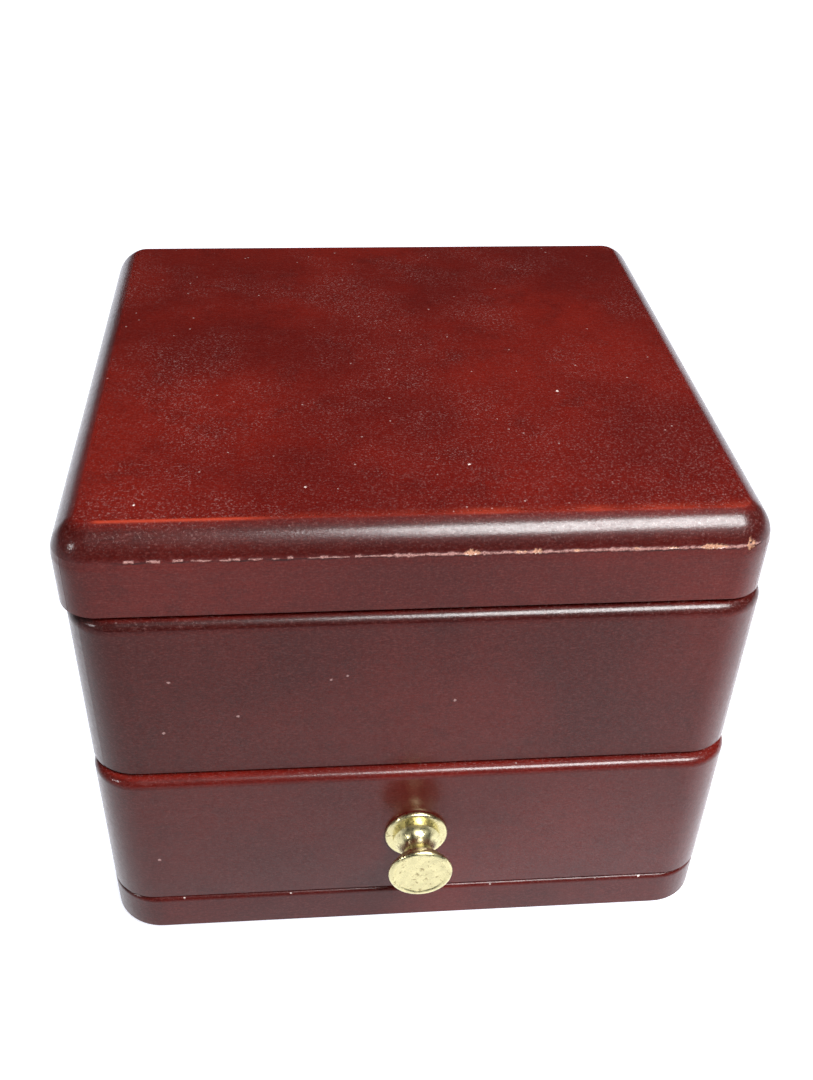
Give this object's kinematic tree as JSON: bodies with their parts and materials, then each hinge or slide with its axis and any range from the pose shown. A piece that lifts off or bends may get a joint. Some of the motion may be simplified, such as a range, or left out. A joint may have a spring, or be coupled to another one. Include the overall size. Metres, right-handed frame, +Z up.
{
  "type": "ring box",
  "caption": "Small lacquered wooden ring box with a hinged moulded lid over velvet ring rolls and a shallow drawer with a turned brass knob.",
  "frame": {"origin": "centre of the felt underside, on the surface the box stands on", "axes": "+X to the right seen from the front, +Y to the back, +Z up; the drawer front and its knob face -Y"},
  "size_m": [0.1005, 0.1103, 0.0794],
  "materials": {
    "lacquered_wood": "red mahogany, glossy lacquer",
    "inner_wood": "stained, satin",
    "felt": "pressed felt",
    "satin": "ivory satin",
    "velvet": "ivory velvet",
    "hinge_brass": "polished brass",
    "knob_brass": "polished brass, lightly tarnished"
  },
  "bodies": {
    "case": {"base_slab": "lacquered_wood", "base_felt": "felt", "case_left": "lacquered_wood", "case_right": "lacquered_wood", "case_back": "lacquered_wood", "case_front": "lacquered_wood", "case_divider": "inner_wood", "lining_left": "velvet", "lining_right": "velvet", "lining_front": "velvet", "lining_back": "velvet", "ring_roll_1": "velvet", "ring_roll_2": "velvet", "ring_roll_3": "velvet", "ring_roll_4": "velvet", "ring_roll_5": "velvet", "ring_roll_6": "velvet", "left_hinge_lower_leaf": "hinge_brass", "right_hinge_lower_leaf": "hinge_brass", "left_hinge_pin": "hinge_brass", "right_hinge_pin": "hinge_brass", "lower_hinge_screws": "hinge_brass"},
    "lid": {"lid_top": "lacquered_wood", "lid_left": "lacquered_wood", "lid_right": "lacquered_wood", "lid_front": "lacquered_wood", "lid_back": "lacquered_wood", "lid_pad": "satin", "left_hinge_upper_leaf": "hinge_brass", "right_hinge_upper_leaf": "hinge_brass", "upper_hinge_screws": "hinge_brass"},
    "drawer": {"drawer_front": "lacquered_wood", "drawer_left": "inner_wood", "drawer_right": "inner_wood", "drawer_back": "inner_wood", "drawer_bottom": "inner_wood", "drawer_pad": "velvet", "drawer_knob": "knob_brass", "knob_screw": "hinge_brass"}
  },
  "joints": [
    {"name": "lid_hinge", "type": "hinge", "parent": "case", "child": "lid", "pos_m": [0, 0.0478, 0.0657], "axis": [-1, 0, 0], "range_deg": [0, 98]},
    {"name": "drawer_slide", "type": "slide", "parent": "case", "child": "drawer", "axis": [0, -1, 0], "range_m": [0, 0.06]}
  ]
}
